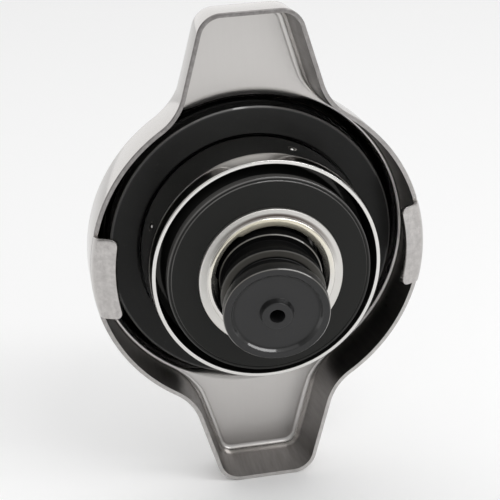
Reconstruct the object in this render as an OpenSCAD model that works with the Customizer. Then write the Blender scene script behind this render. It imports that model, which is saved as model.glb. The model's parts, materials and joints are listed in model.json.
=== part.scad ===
// Two-eared pressure cap for a radiator filler neck, lying on its back with the valves up.
// The shell's plateau rests on z = 0 and the cap's axis is Z. All sizes are in millimetres.

/* [Shell] */
// Thickness of the pressed sheet
sheet_t = 0.7; // [0.5:0.05:0.85]
// Outer radius of the round rim wall
rim_r = 21.45; // [20.9:0.05:22.5]
// Height of the rim's edge above the plateau's face
rim_h = 9.5; // [8.6:0.1:11.5]
// How far the wall leans out from its foot to its edge
wall_flare = 0.25; // [0:0.05:0.4]
// Inner radius of the bend from the floor to the wall, round the rim
bend_r = 0.6; // [0.4:0.1:0.9]
// Inner radius of that bend in the ears
ear_bend_r = 1.3; // [0.8:0.1:1.6]
// Rounding of the sheared rim edge
edge_r = 0.15; // [0.05:0.05:0.2]
// How far the plateau stands out from the ears
plateau_step = 2.3; // [2:0.1:2.6]
// Radius of the rounded edge where the floor drops into the recess
brink_r = 0.85; // [0.5:0.05:1]
// Radius of the corner at the bottom of the recess
recess_edge_r = 0.5; // [0.2:0.1:0.6]
// Depth of the dimple that hides the rivet's outer head
dimple_h = 1; // [0.85:0.05:1.2]

/* [Ears] */
// Distance from the axis to the tip of an ear
ear_reach = 31.8; // [29.6:0.2:35]
// Width of an ear at its tip, before its corners are rounded
ear_tip_w = 12; // [11:0.1:14]
// Angle at which the sides of an ear spread towards the rim
ear_spread = 16; // [10:1:18]
// Radius of the outer corners of an ear
ear_corner_r = 3.2; // [2.6:0.1:4]
// Radius of the hollow blend from an ear into the round rim
ear_blend_r = 7; // [5:0.5:9]

/* [Cam tabs] */
// Length of a tab along the rim
tab_l = 10.7; // [8.7:0.1:12]
// How far a tab reaches in from the wall's outer face
tab_reach = 2.55; // [2.2:0.05:3]
// Angle at which a tab rises inwards from its fold
tab_rise = 25; // [0:1:35]
// Inner radius of the fold of a tab
tab_fold_r = 0.5; // [0.3:0.1:0.8]
// Radius of the inner corners of a tab
tab_corner_r = 1.1; // [0.5:0.1:1.4]
// Hollow of the inner edge of a tab at its middle
tab_hollow = 0.3; // [0.1:0.1:0.6]
// Width of the relief notch at each end of a tab
tab_relief = 0.6; // [0.4:0.1:1]

/* [Gasket and diaphragm] */
// Gap between the gasket and the wall of the recess
gasket_gap = 0.53; // [0.3:0.01:0.9]
// Height of the gasket at its rim
gasket_h = 3.2; // [2.6:0.1:3.4]
// Thickness of the gasket's web under the cup
gasket_web = 1.35; // [1:0.05:1.8]
// Depth of the socket in the gasket that takes the cup's base
gasket_socket = 1.3; // [0.8:0.1:1.6]
// Rounding of the gasket's rim
gasket_edge_r = 0.3; // [0.1:0.05:0.4]
// Thickness of the diaphragm spring
diaphragm_t = 0.3; // [0.2:0.05:0.4]
// Drop of the diaphragm spring from its middle to its rim
diaphragm_drop = 0.35; // [0.1:0.05:0.5]

/* [Bell cup] */
// Outer radius of the cup
cup_r = 14.75; // [14.2:0.05:15]
// Height of the cup from its base to its mouth
cup_h = 10.7; // [10.2:0.1:12.5]
// Wall of the cup
cup_t = 0.5; // [0.4:0.05:0.6]
// Outer radius of the bend at the cup's base
cup_base_r = 1.4; // [0.8:0.1:1.8]
// Number of stakes that keep the valve plate in the cup
stake_count = 4; // [2:1:6]
// How far a stake stands in from the cup's wall
stake_in = 1; // [0.85:0.05:1.1]
// Direction of the first stake
stake_angle = 248; // [0:1:360]

/* [Rivet] */
// Radius of the rivet's shank
rivet_r = 1.9; // [1.5:0.1:2.4]
// Radius of the rivet's heads
rivet_head_r = 3.2; // [2.8:0.1:3.4]
// Thickness of the rivet's heads
rivet_head_h = 0.5; // [0.4:0.05:0.7]
// Radius of the washer under the inner head
washer_r = 5; // [4.2:0.1:6]
// Thickness of that washer
washer_t = 0.4; // [0.3:0.05:0.5]

/* [Pressure valve] */
// Wire of the pressure spring
spring_wire = 1.6; // [1.2:0.1:1.7]
// Mean radius of the pressure spring
spring_r = 10.4; // [9.6:0.1:10.6]
// Turns of the pressure spring, ground end turns included
spring_turns = 4; // [3.5:0.25:4.5]
// Thickness of the valve plate
plate_t = 0.6; // [0.5:0.05:0.8]
// Gap between the valve plate and the cup's wall
plate_gap = 0.55; // [0.5:0.05:0.6]
// Height of the plate's land above its rim
plate_joggle = 4; // [3.6:0.1:4.2]
// Depth of the plate's rim below the cup's mouth
plate_depth = 4.6; // [4.4:0.05:5]
// Outer radius of the pressure seal
seal_r = 12.8; // [12.2:0.1:13]
// Thickness of the pressure seal at its rim
seal_t = 2; // [1.6:0.1:2.4]
// Rise of the seal's face from its rim to the retainer
seal_rise = 0.3; // [0.1:0.1:0.6]
// Outer radius of the retainer's flange
flange_r = 9.05; // [8.8:0.05:9.6]
// Sheet of the retainer
retainer_t = 0.6; // [0.5:0.05:0.7]
// Inner radius of the retainer's tube
tube_r = 7.1; // [6.9:0.1:7.3]
// Radius of the retainer's rolled lip
lip_r = 0.7; // [0.65:0.05:0.8]
// Depth of the retainer from its flange to its floor
tube_depth = 4.4; // [4:0.1:4.8]

/* [Vacuum valve] */
// Lean of the loose stem in its seat
stem_lean = 12; // [0:1:13]
// Direction in which the stem leans
lean_dir = 54; // [0:1:360]
// How far the vacuum valve lifts off its seat
vacuum_travel = 1.5; // [0.5:0.1:1.5]
// Radius of the stem's head
head_r = 6.42; // [6:0.02:6.6]
// Thickness of the stem's head
head_h = 1.8; // [1.4:0.1:2.2]
// Height of the stem's face above the middle of its dome
face_h = 8.6; // [8.2:0.1:10]
// Width of the groove behind the head
groove_w = 2.3; // [1.6:0.1:2.6]
// Radius at the bottom of that groove
groove_r = 5.3; // [4.6:0.1:5.7]
// Thickness of the collar behind the groove
collar_h = 1.1; // [0.8:0.1:1.3]
// Radius of the neck between collar and foot
neck_r = 5.6; // [5:0.1:5.9]
// Radius of the stem's foot
foot_r = 6.4; // [6:0.1:6.5]
// Thickness of the stem's foot
foot_h = 1.4; // [1:0.1:1.6]
// Width of the raised rim on the stem's face
face_rim_w = 0.85; // [0.5:0.05:1.2]
// Depth of the face inside its rim
face_sink = 0.35; // [0.2:0.05:0.6]
// Radius of the small recess in the middle of the face
eye_r = 2.1; // [1.6:0.1:2.6]
// Radius of the vent hole in the middle of the face
vent_r = 0.92; // [0.6:0.02:1.1]
// Depth of that vent hole
vent_h = 3; // [1.5:0.1:5]
// Radius of the stem's shaft
shaft_r = 1.5; // [1.2:0.1:1.8]
// Radius of the clip on the shaft's end
clip_r = 4.6; // [4.5:0.1:5]
// Thickness of the clip
clip_t = 0.5; // [0.4:0.05:0.6]

/* [Clearances] */
// Axial play of the shell between the rivet's head and the diaphragm
swivel_gap = 0.05; // [0.02:0.01:0.1]
// Radial play of the rivet in the shell
rivet_play = 0.06; // [0.02:0.01:0.1]
// Gap between pieces that are assembled and don't move
seat_gap = 0.03; // [0.02:0.01:0.05]
// Gap between the stem's dome and its seat
dome_gap = 0.12; // [0.08:0.02:0.2]
// Gap left between pieces that pass each other
pass_gap = 0.1; // [0.05:0.05:0.2]

/* [Hidden] */
$fn = 96;

// Heights of the stack, from the plateau up
floor_z = plateau_step + sheet_t;
recess_z = sheet_t;
boss_z = dimple_h + sheet_t;
diaphragm_z = boss_z + swivel_gap;
web_z = diaphragm_z + diaphragm_t;
cup_z = web_z + gasket_web;
gasket_z = cup_z + gasket_socket;
cup_floor_z = cup_z + cup_t;
mouth_z = cup_z + cup_h;
plate_rim_z = mouth_z - plate_depth;
land_z = plate_rim_z + plate_joggle;
spring_top_z = land_z - plate_t;
seal_z = land_z + seal_t;
flange_z = seal_z + seal_rise;
retainer_z = flange_z + retainer_t;
seat_floor_z = retainer_z - tube_depth;
seat_under_z = seat_floor_z - retainer_t;

// Radii that follow from the driving sizes
brink_flat = 0.05;
recess_r = rim_r - wall_flare - sheet_t - bend_r - brink_r - brink_flat;
plateau_r = recess_r + sheet_t;
brink_lap = 0.58;
plateau_edge_r = 0.9;
brink_a = 110;
dimple_room = 0.6;
dimple_top_r = rivet_head_r + dimple_room;
dimple_slope = 0.6;
gasket_r = recess_r - gasket_gap;
socket_gap = 0.3;
socket_r = cup_r + socket_gap;
skirt_w = 0.8;
diaphragm_r = gasket_r - skirt_w;
diaphragm_flat_r = 6;
diaphragm_rim_w = 1.6;
cup_in_r = cup_r - cup_t;
stake_ball_r = 0.8;
stake_mark_r = 0.6;
plate_r = cup_in_r - plate_gap;
plate_rim_w = 1.6;
land_r = plate_r - plate_rim_w;
joggle_w = 0.5;
tube_out_r = tube_r + retainer_t;
tube_hole_r = tube_out_r + seat_gap;
lip_rise = 0.15;
tube_corner_r = 0.3;
bead_w = 0.5;
bead_h = 0.7;
seat_hole_r = 4.5;
seat_in_r = 3.75;
seat_lip_r = 5.6;
seat_lip_h = 0.5;
seat_round_r = 0.25;
upset_in = 0.2;
tab_inset = 0.02;
tab_root_h = 0.5;

// A round stretch of an outline, from one angle to another
function unit(a) = [cos(a), sin(a)];
function arc(c, r, a0, a1, n = 6) = [for (i = [0 : n]) c + r * unit(a0 + (a1 - a0) * i / n)];

// Shell outline
// Each entry is a point on the wall's outer face, the outward direction there, how far the edge is cut down,
// and the radius of the bend at its foot.
side_n = unit(ear_spread);
side_d = side_n * [ear_tip_w / 2, ear_reach];
side_down = [sin(ear_spread), -cos(ear_spread)];
corner_y = ear_reach - ear_corner_r;
corner_x = (side_d - ear_corner_r - side_n.y * corner_y) / side_n.x;
blend_up = sqrt(pow(rim_r + ear_blend_r, 2) - pow(side_d + ear_blend_r, 2));
blend_c = side_n * (side_d + ear_blend_r) - side_down * blend_up;
blend_a = atan2(blend_c.y, blend_c.x);
tab_a = asin(tab_l / 2 / rim_r);
notch_a = asin((tab_l / 2 + tab_relief) / rim_r);
notch_side_a = 0.15;
tab_x = rim_r * cos(tab_a);
tab_bend_min = 0.2;
tab_bend_r = max(tab_bend_min, bend_r - (rim_r - tab_x));
tab_foot_x = tab_x - wall_flare - sheet_t - tab_bend_r;
hole_margin = 0.1;
floor_hole_r = min(recess_r + brink_lap * brink_r, tab_foot_x - hole_margin);
tab_fold_out_r = tab_fold_r + sheet_t;
notch_d = 1.6;
round_steps = 10;
blend_steps = 7;
corner_steps = 7;

function flat_wall() = [for (i = [0 : 2]) [[tab_x, i / 3 * tab_l / 2], [1, 0], notch_d, tab_bend_r]];
function notch_wall() = [[rim_r * unit(tab_a), unit(tab_a / 2), notch_d, bend_r],
    [rim_r * unit(notch_a), unit(notch_a), notch_d, bend_r]];
function round_wall() = [for (i = [0 : round_steps])
    let (from = notch_a + notch_side_a, a = from + (blend_a - from) * i / round_steps)
    [rim_r * unit(a), unit(a), 0, bend_r]];
function blend_wall() = [for (i = [1 : blend_steps])
    let (a = blend_a + (ear_spread - blend_a) * i / blend_steps)
    [blend_c - ear_blend_r * unit(a), unit(a), 0, bend_r + (ear_bend_r - bend_r) * i / blend_steps]];
function corner_wall() = [for (i = [0 : corner_steps])
    let (a = ear_spread + (90 - ear_spread) * i / corner_steps)
    [[corner_x, corner_y] + ear_corner_r * unit(a), unit(a), 0, ear_bend_r]];
quarter = concat(flat_wall(), notch_wall(), round_wall(), blend_wall(), corner_wall(),
                 [[[0, ear_reach], [0, 1], 0, ear_bend_r]]);

function flip(q, sx, sy) = [for (e = q) [[e[0].x * sx, e[0].y * sy], [e[1].x * sx, e[1].y * sy], e[2], e[3]]];
function back(q) = [for (i = [len(q) - 1 : -1 : 0]) q[i]];
function part_of(q, from, to) = [for (i = [from : to]) q[i]];
last = len(quarter) - 1;
outline = concat(quarter, part_of(back(flip(quarter, -1, 1)), 1, last), part_of(flip(quarter, -1, -1), 1, last),
                 part_of(back(flip(quarter, 1, -1)), 1, last - 1));

// Section of the pressed tray for one bend radius: how far in from the outer face, and how high
function tray_section(r) =
    let (out_r = r + sheet_t, c = [wall_flare + out_r, plateau_step + out_r])
    concat(arc(c, out_r, 270, 180, 5),
           arc([edge_r, rim_h - edge_r], edge_r, 180, 90, 2),
           arc([sheet_t - edge_r, rim_h - edge_r], edge_r, 90, 0, 2),
           arc(c, r, 180, 270, 5));
tray_rings = len(tray_section(bend_r));
sections = [for (e = outline) tray_section(e[3])];

// Rings of the tray: the section carried round the outline, and a round hole in the floor
function tray_z(z, cut) = z > rim_h / 2 ? z - cut : z;
function tray_ring(j) = [for (i = [0 : len(outline) - 1])
    let (e = outline[i], s = sections[i][j])
    [e[0].x - s.x * e[1].x, e[0].y - s.x * e[1].y, tray_z(s.y, e[2])]];
function hole_ring(r, z) = [for (e = outline) [r * e[0].x / norm(e[0]), r * e[0].y / norm(e[0]), z]];

module tray() {
    n = len(outline);
    rings = concat([hole_ring(floor_hole_r, plateau_step)], [for (j = [0 : tray_rings - 1]) tray_ring(j)],
                   [hole_ring(floor_hole_r, floor_z)]);
    k = len(rings);
    walls = [for (j = [0 : k - 1]) for (i = [0 : n - 1])
        let (up = (j + 1) % k, right = (i + 1) % n)
        [j * n + i, up * n + i, up * n + right, j * n + right]];
    polyhedron([for (ring = rings) each ring], walls, convexity = 6);
}

// A closed ring of metal or rubber, turned about the axis from its half section
module turned(points) {
    rotate_extrude(convexity = 4)
        polygon(points);
}

// Middle of the shell: the plateau, its rounded recess and the dimple round the rivet's hole
module plateau_dish() {
    hole_r = rivet_r + rivet_play;
    dimple_r = dimple_top_r + dimple_slope;
    brink = arc([recess_r + brink_r, floor_z - brink_r], brink_r, brink_a, 180);
    joint_z = floor_z - sheet_t / 2;
    turned(concat([[hole_r, dimple_h], [dimple_top_r, dimple_h], [dimple_r, 0]],
                  arc([plateau_r - plateau_edge_r, plateau_edge_r], plateau_edge_r, 270, 360),
                  [[plateau_r, joint_z], [brink[0].x, joint_z]],
                  brink,
                  arc([recess_r - recess_edge_r, recess_z + recess_edge_r], recess_edge_r, 360, 270),
                  [[dimple_r + sheet_t, recess_z], [dimple_top_r + sheet_t / 2, boss_z], [hole_r, boss_z]]));
}

// One cam tab: a strip that rises from the cut-down wall and folds in over the rim
module tab_strip() {
    face_x = tab_x - tab_inset;
    strip_t = sheet_t - 2 * tab_inset;
    root_z = rim_h - notch_d - tab_root_h;
    fold_c = [face_x - tab_fold_out_r, rim_h];
    fold_a = 90 - tab_rise;
    fold_in_r = tab_fold_out_r - strip_t;
    run = (tab_reach - tab_inset - tab_fold_out_r * (1 - cos(fold_a))) / cos(tab_rise) + strip_t;
    inward = run * [-cos(tab_rise), sin(tab_rise)];
    rotate([90, 0, 0])
        linear_extrude(height = tab_l, center = true)
            polygon(concat([[face_x, root_z]],
                           arc(fold_c, tab_fold_out_r, 0, fold_a),
                           [fold_c + tab_fold_out_r * unit(fold_a) + inward, fold_c + fold_in_r * unit(fold_a) + inward],
                           arc(fold_c, fold_in_r, fold_a, 0),
                           [[face_x - strip_t, root_z]]));
}

module tab_plan() {
    inner_x = tab_x - tab_reach;
    round_x = inner_x + tab_corner_r;
    round_y = tab_l / 2 - tab_corner_r;
    hollow_r = (pow(tab_l / 2, 2) + pow(tab_hollow, 2)) / (2 * tab_hollow);
    linear_extrude(height = 2 * rim_h)
        difference() {
            polygon(concat([[rim_r, -tab_l / 2], [rim_r, tab_l / 2]],
                           arc([round_x, round_y], tab_corner_r, 90, 180),
                           arc([round_x, -round_y], tab_corner_r, 180, 270)));
            translate([inner_x + tab_hollow - hollow_r, 0])
                circle(r = hollow_r, $fn = 360);
        }
}

module cam_tab() {
    intersection() {
        tab_strip();
        tab_plan();
    }
}

module cap_shell() {
    color([0.72, 0.71, 0.69])
        union() {
            tray();
            plateau_dish();
            cam_tab();
            mirror([1, 0, 0])
                cam_tab();
        }
}

// Underside of the gasket follows the dished diaphragm
diaphragm_slope_r = diaphragm_r - diaphragm_rim_w;

module diaphragm_spring() {
    low = diaphragm_z - diaphragm_drop;
    color([0.62, 0.62, 0.62])
        turned([[rivet_r + seat_gap, diaphragm_z], [diaphragm_flat_r, diaphragm_z], [diaphragm_slope_r, low],
                [diaphragm_r, low], [diaphragm_r, low + diaphragm_t], [diaphragm_slope_r, low + diaphragm_t],
                [diaphragm_flat_r, web_z], [rivet_r + seat_gap, web_z]]);
}

module neck_gasket() {
    low = web_z - diaphragm_drop;
    rim_low = min(gasket_z - gasket_h, low);
    skirt_r = diaphragm_r + seat_gap;
    color([0.06, 0.06, 0.06])
        turned(concat([[rivet_r + seat_gap, web_z], [diaphragm_flat_r, web_z], [diaphragm_slope_r, low],
                       [skirt_r, low], [skirt_r, rim_low]],
                      arc([gasket_r - gasket_edge_r, rim_low + gasket_edge_r], gasket_edge_r, 270, 360, 3),
                      arc([gasket_r - gasket_edge_r, gasket_z - gasket_edge_r], gasket_edge_r, 0, 90, 4),
                      [[socket_r + gasket_edge_r, gasket_z], [socket_r, gasket_z - gasket_edge_r],
                       [socket_r, cup_z], [rivet_r + seat_gap, cup_z]]));
}

// One stake: a ball pushed in from the wall just above the valve plate's rim
stake_r = cup_in_r - stake_in + stake_ball_r;
stake_drop = sqrt(pow(stake_ball_r, 2) - pow(stake_r - plate_r, 2));
stake_z = plate_rim_z + stake_drop + swivel_gap;

module stakes(r, ball_r) {
    for (i = [0 : stake_count - 1])
        rotate([0, 0, stake_angle + i * 360 / stake_count])
            translate([r, 0, stake_z])
                sphere(r = ball_r, $fn = 32);
}

module bell_cup() {
    color([0.8, 0.8, 0.79])
        difference() {
            union() {
                turned(concat([[rivet_r + seat_gap, cup_z]],
                              arc([cup_r - cup_base_r, cup_z + cup_base_r], cup_base_r, 270, 360),
                              arc([cup_r - edge_r, mouth_z - edge_r], edge_r, 0, 90, 3),
                              arc([cup_in_r + edge_r, mouth_z - edge_r], edge_r, 90, 180, 3),
                              arc([cup_r - cup_base_r, cup_z + cup_base_r], cup_base_r - cup_t, 360, 270),
                              [[rivet_r + seat_gap, cup_floor_z]]));
                intersection() {
                    stakes(stake_r, stake_ball_r);
                    translate([0, 0, cup_z])
                        cylinder(r = cup_r - cup_t / 2, h = cup_h);
                }
            }
            stakes(cup_r + stake_mark_r / 3, stake_mark_r);
        }
}

// Rivet that holds the stack, with the shell free to turn under its outer head
module center_rivet() {
    outer_z = dimple_h - swivel_gap;
    inner_z = cup_floor_z + washer_t;
    color([0.66, 0.66, 0.66])
        turned(concat([[0, outer_z - rivet_head_h]],
                      arc([rivet_head_r - edge_r, outer_z - rivet_head_h + edge_r], edge_r, 270, 360, 3),
                      [[rivet_head_r, outer_z], [rivet_r, outer_z], [rivet_r, inner_z], [rivet_head_r - upset_in, inner_z],
                       [rivet_head_r - 2 * upset_in, inner_z + rivet_head_h / 2], [rivet_r, inner_z + rivet_head_h],
                       [0, inner_z + rivet_head_h]]));
}

module rivet_washer() {
    color([0.7, 0.7, 0.7])
        translate([0, 0, cup_floor_z])
            difference() {
                cylinder(r = washer_r, h = washer_t);
                translate([0, 0, -1])
                    cylinder(r = rivet_r + seat_gap, h = washer_t + 2);
            }
}

// Coil swept along its own path, its end turns closed and ground flat
coil_sides = 8;
coil_steps = 24;
coil_sink = 0.1;
coil_gap = 0.05;
coil_close = spring_wire + coil_gap;
coil_rise = spring_top_z - cup_floor_z + 2 * coil_sink;
coil_pitch = (coil_rise - 2 * coil_close) / (spring_turns - 2);

function coil_z(u) = cup_floor_z - coil_sink + coil_close * min(u, 1)
    + coil_pitch * min(max(u - 1, 0), spring_turns - 2) + coil_close * max(u - spring_turns + 1, 0);
function coil_ring(u) = [for (k = [0 : coil_sides - 1])
    let (q = unit(360 * (k + 0.5) / coil_sides) * spring_wire / 2, across = spring_r + q.x)
    [across * cos(360 * u), across * sin(360 * u), coil_z(u) + q.y]];

module coil() {
    rings = round(spring_turns * coil_steps);
    points = [for (i = [0 : rings]) each coil_ring(spring_turns * i / rings)];
    walls = [for (i = [0 : rings - 1]) for (k = [0 : coil_sides - 1])
        let (a = i * coil_sides + k, b = i * coil_sides + (k + 1) % coil_sides)
        [a, b, b + coil_sides, a + coil_sides]];
    first_cap = [for (k = [coil_sides - 1 : -1 : 0]) k];
    last_cap = [for (k = [0 : coil_sides - 1]) rings * coil_sides + k];
    polyhedron(points, concat(walls, [first_cap], [last_cap]), convexity = 10);
}

module pressure_spring() {
    color([0.6, 0.6, 0.6])
        intersection() {
            coil();
            translate([0, 0, cup_floor_z + seat_gap])
                cylinder(r = cup_in_r, h = spring_top_z - cup_floor_z - 2 * seat_gap);
        }
}

module valve_plate() {
    low = plate_rim_z - plate_t;
    color([0.7, 0.7, 0.69])
        turned([[tube_hole_r, spring_top_z], [land_r - joggle_w, spring_top_z], [land_r, low], [plate_r, low],
                [plate_r, plate_rim_z], [land_r + joggle_w, plate_rim_z], [land_r, land_z], [tube_hole_r, land_z]]);
}

// Rubber ring between plate and retainer, its face rising a little towards the retainer
seal_edge_r = 0.25;
seal_under_w = 0.6;

module pressure_seal() {
    top_r = flange_r + pass_gap;
    color([0.13, 0.13, 0.13])
        turned(concat([[tube_hole_r, land_z], [seal_r - seal_under_w, land_z], [seal_r, land_z + seal_under_w]],
                      arc([seal_r - seal_edge_r, seal_z - seal_edge_r], seal_edge_r, 0, 90, 4),
                      [[top_r, flange_z], [tube_hole_r, flange_z]]));
}

// Flanged tube that clamps the seal to the plate and carries the vacuum valve's seat
module seal_retainer() {
    lip_c = [tube_r + lip_r, retainer_z - lip_r + lip_rise];
    lip_a = asin((retainer_z - lip_c.y) / lip_r);
    corner_out_r = retainer_t + tube_corner_r;
    color([0.78, 0.77, 0.74])
        turned(concat([[seat_hole_r, seat_under_z], [tube_out_r - corner_out_r, seat_under_z]],
                      arc([tube_out_r - corner_out_r, seat_under_z + corner_out_r], corner_out_r, 270, 360, 4),
                      [[tube_out_r, spring_top_z - bead_h], [tube_out_r + bead_w * 0.7, spring_top_z - bead_h],
                       [tube_out_r + bead_w, spring_top_z - bead_h * 0.7], [tube_out_r + bead_w, spring_top_z],
                       [tube_out_r, spring_top_z], [tube_out_r, flange_z], [flange_r, flange_z]],
                      arc([flange_r - edge_r, retainer_z - edge_r], edge_r, 0, 90, 3),
                      arc(lip_c, lip_r, lip_a, 180, 10),
                      [[tube_r, seat_floor_z + tube_corner_r], [tube_r - tube_corner_r, seat_floor_z],
                       [seat_hole_r, seat_floor_z]]));
}

// Rubber ring bonded into the retainer's floor
seat_top_z = seat_floor_z + seat_lip_h;

module vacuum_seat() {
    color([0.1, 0.1, 0.1])
        turned(concat([[seat_in_r, seat_under_z], [seat_hole_r - seat_gap, seat_under_z],
                       [seat_hole_r - seat_gap, seat_floor_z], [seat_lip_r, seat_floor_z],
                       [seat_lip_r, seat_top_z]],
                      arc([seat_in_r + seat_round_r, seat_top_z - seat_round_r], seat_round_r, 90, 180, 4)));
}

// Stem of the vacuum valve, turned about its own axis from the middle of its dome
dome_drop = 0.3;
dome_z = flange_z - dome_drop;
dome_r = norm([seat_in_r + seat_round_r, dome_z - seat_top_z + seat_round_r]) - seat_round_r - dome_gap;
foot_shift = 0.1;
foot_low = foot_shift - foot_h / 2;
foot_top = foot_low + foot_h;
head_low = face_h - head_h;
collar_top = head_low - groove_w;
clip_lean = clip_r * sin(stem_lean);
clip_top = -(dome_z - seat_under_z + vacuum_travel + pass_gap + clip_lean) / cos(stem_lean);
shaft_end = clip_top - 2 * clip_t;
foot_notches = 3;
foot_notch_r = 0.5;
foot_notch_a = 60;

module on_stem() {
    translate([0, 0, dome_z])
        rotate([0, 0, lean_dir])
            rotate([0, stem_lean, 0])
                children();
}

module stem_body() {
    dome_a0 = 270 + asin(shaft_r / dome_r);
    dome_a1 = 360 + asin(foot_low / dome_r);
    rim_in_r = head_r - face_rim_w;
    turned(concat([[0, shaft_end], [shaft_r - edge_r, shaft_end], [shaft_r, shaft_end + edge_r]],
                  arc([0, 0], dome_r, dome_a0, dome_a1, 8),
                  arc([foot_r - edge_r, foot_low + edge_r], edge_r, 270, 360, 3),
                  arc([foot_r - edge_r, foot_top - edge_r], edge_r, 0, 90, 3),
                  [[neck_r, foot_top], [neck_r, collar_top - collar_h]],
                  arc([head_r - edge_r, collar_top - collar_h + edge_r], edge_r, 270, 360, 3),
                  arc([head_r - edge_r, collar_top - edge_r], edge_r, 0, 90, 3),
                  [[groove_r, collar_top], [groove_r, head_low]],
                  arc([head_r - edge_r, head_low + edge_r], edge_r, 270, 360, 3),
                  arc([head_r - 2 * edge_r, face_h - 2 * edge_r], 2 * edge_r, 0, 90, 4),
                  [[rim_in_r, face_h], [rim_in_r - face_sink, face_h - face_sink], [eye_r, face_h - face_sink],
                   [eye_r - face_sink / 2, face_h - 2 * face_sink], [vent_r, face_h - 2 * face_sink],
                   [vent_r, face_h - 2 * face_sink - vent_h], [0, face_h - 2 * face_sink - vent_h]]));
}

module vacuum_stem() {
    color([0.09, 0.09, 0.09])
        on_stem()
            difference() {
                stem_body();
                for (i = [0 : foot_notches - 1])
                    rotate([0, 0, foot_notch_a + i * 360 / foot_notches])
                        translate([foot_r, 0, foot_low - 1])
                            cylinder(r = foot_notch_r, h = foot_h + 2, $fn = 24);
            }
}

// Push-on clip that stops the stem from leaving its seat
module stem_clip() {
    color([0.65, 0.65, 0.64])
        on_stem()
            translate([0, 0, clip_top - clip_t])
                difference() {
                    cylinder(r = clip_r, h = clip_t);
                    translate([0, 0, -1])
                        cylinder(r = shaft_r + seat_gap, h = clip_t + 2);
                }
}

cap_shell();
diaphragm_spring();
neck_gasket();
bell_cup();
center_rivet();
rivet_washer();
pressure_spring();
valve_plate();
pressure_seal();
seal_retainer();
vacuum_seat();
vacuum_stem();
stem_clip();
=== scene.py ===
import json
from collections import namedtuple
from math import asin, atan2, cos, pi, radians, sin, sqrt
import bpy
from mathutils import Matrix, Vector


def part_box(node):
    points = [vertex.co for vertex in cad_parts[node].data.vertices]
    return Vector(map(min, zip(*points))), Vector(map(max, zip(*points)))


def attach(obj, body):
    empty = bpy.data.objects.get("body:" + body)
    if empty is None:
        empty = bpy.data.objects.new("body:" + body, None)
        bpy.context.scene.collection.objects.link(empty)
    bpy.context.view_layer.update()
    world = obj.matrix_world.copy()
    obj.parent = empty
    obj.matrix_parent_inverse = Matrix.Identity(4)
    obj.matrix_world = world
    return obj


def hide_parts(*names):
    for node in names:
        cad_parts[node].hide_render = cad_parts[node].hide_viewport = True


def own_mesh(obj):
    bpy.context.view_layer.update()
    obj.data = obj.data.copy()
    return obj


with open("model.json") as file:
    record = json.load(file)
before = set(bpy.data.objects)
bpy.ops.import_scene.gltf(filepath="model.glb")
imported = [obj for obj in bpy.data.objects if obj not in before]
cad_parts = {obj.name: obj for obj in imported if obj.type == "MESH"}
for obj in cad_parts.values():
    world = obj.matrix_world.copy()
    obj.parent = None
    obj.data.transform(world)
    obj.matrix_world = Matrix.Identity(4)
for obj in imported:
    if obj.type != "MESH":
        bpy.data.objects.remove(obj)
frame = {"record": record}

from types import SimpleNamespace

import bmesh
import bpy
from bpy.props import FloatProperty, FloatVectorProperty, PointerProperty
from mathutils import Matrix, Vector

bl_info = {
    "name": "Radiator cap",
    "version": (1, 0, 0),
    "blender": (4, 5, 0),
    "location": "View3D > Sidebar > Cap",
    "description": "Dresses the two-eared pressure cap over its CAD frame",
    "category": "Object",
}

MM = 0.001
TURN = 2 * pi
MERGE = 1e-7
INNER_WALL = "inner_wall"
BODIES = {node: body for body, nodes in frame["record"]["behaviour"]["bodies"].items() for node in nodes}

# Radii of the rivet's shank and of the holes round it in the stack and in the shell, in millimetres
SHANK, STACK_HOLE, SHELL_HOLE = 1.9, 1.93, 1.96

# Sections of the plain turned pieces: corners of radius, height and rounding, in millimetres
DIAPHRAGM = [(STACK_HOLE, 1.75, 0), (6, 1.75, 0.3), (16.07, 1.4, 0.3), (17.66, 1.4, 0.1), (17.66, 1.7, 0.1),
             (16.07, 1.7, 0.3), (6, 2.05, 0.3), (STACK_HOLE, 2.05, 0)]
WASHER = [(STACK_HOLE, 3.9, 0), (5, 3.9, 0.08), (5, 4.3, 0.08), (STACK_HOLE, 4.3, 0)]
PLATE = [(7.73, 12.9, 0), (11.6, 12.9, 0.3), (12.1, 8.9, 0.2), (13.7, 8.9, 0.1), (13.7, 9.5, 0.1),
         (12.6, 9.5, 0.2), (12.1, 13.5, 0.5), (7.73, 13.5, 0)]
SEAL = [(7.73, 13.5, 0), (12.2, 13.5, 0.1), (12.8, 14.1, 0.2), (12.8, 15.357, 0), (12.65, 15.48, 0),
        (12.45, 15.53, 0.03), (12.38, 15.45, 0.02), (12.28, 15.54, 0), (9.15, 15.8, 0.1), (7.73, 15.8, 0)]
SEAT = [(3.75, 11.4, 0), (4.47, 11.4, 0), (4.47, 12.0, 0), (5.6, 12.0, 0), (5.6, 12.5, 0.1), (3.75, 12.5, 0.25)]

# The camera's axes and target, solved from the photo, with its target and distance in millimetres
CAMERA_RIGHT = (-0.97821259, 0.03729405, 0.20422850)
CAMERA_UP = (-0.11170606, -0.92374146, -0.36636521)
CAMERA_BACK = (0.17499109, -0.38119662, 0.90778150)
CAMERA_TARGET = (1.85247, -2.49950, 12.66373)
CAMERA_DISTANCE = 198.9319
FOCAL_PIXELS, PHOTO_PIXELS, SENSOR_WIDTH = 1606.4017, 500, 36


def low(node):
    """Lowest corner of a CAD node."""
    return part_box(node)[0]


def high(node):
    """Highest corner of a CAD node."""
    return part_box(node)[1]


def length(label, text, millimetres):
    return FloatProperty(name=label, description=text, default=millimetres * MM, unit="LENGTH", precision=5)


def angle(label, text, degrees):
    return FloatProperty(name=label, description=text, default=radians(degrees), subtype="ANGLE")


def share(label, text, default):
    return FloatProperty(name=label, description=text, default=default, min=0, max=1, subtype="FACTOR")


def tint(label, text, default):
    return FloatVectorProperty(name=label, description=text, default=default, min=0, max=1, subtype="COLOR")


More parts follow.
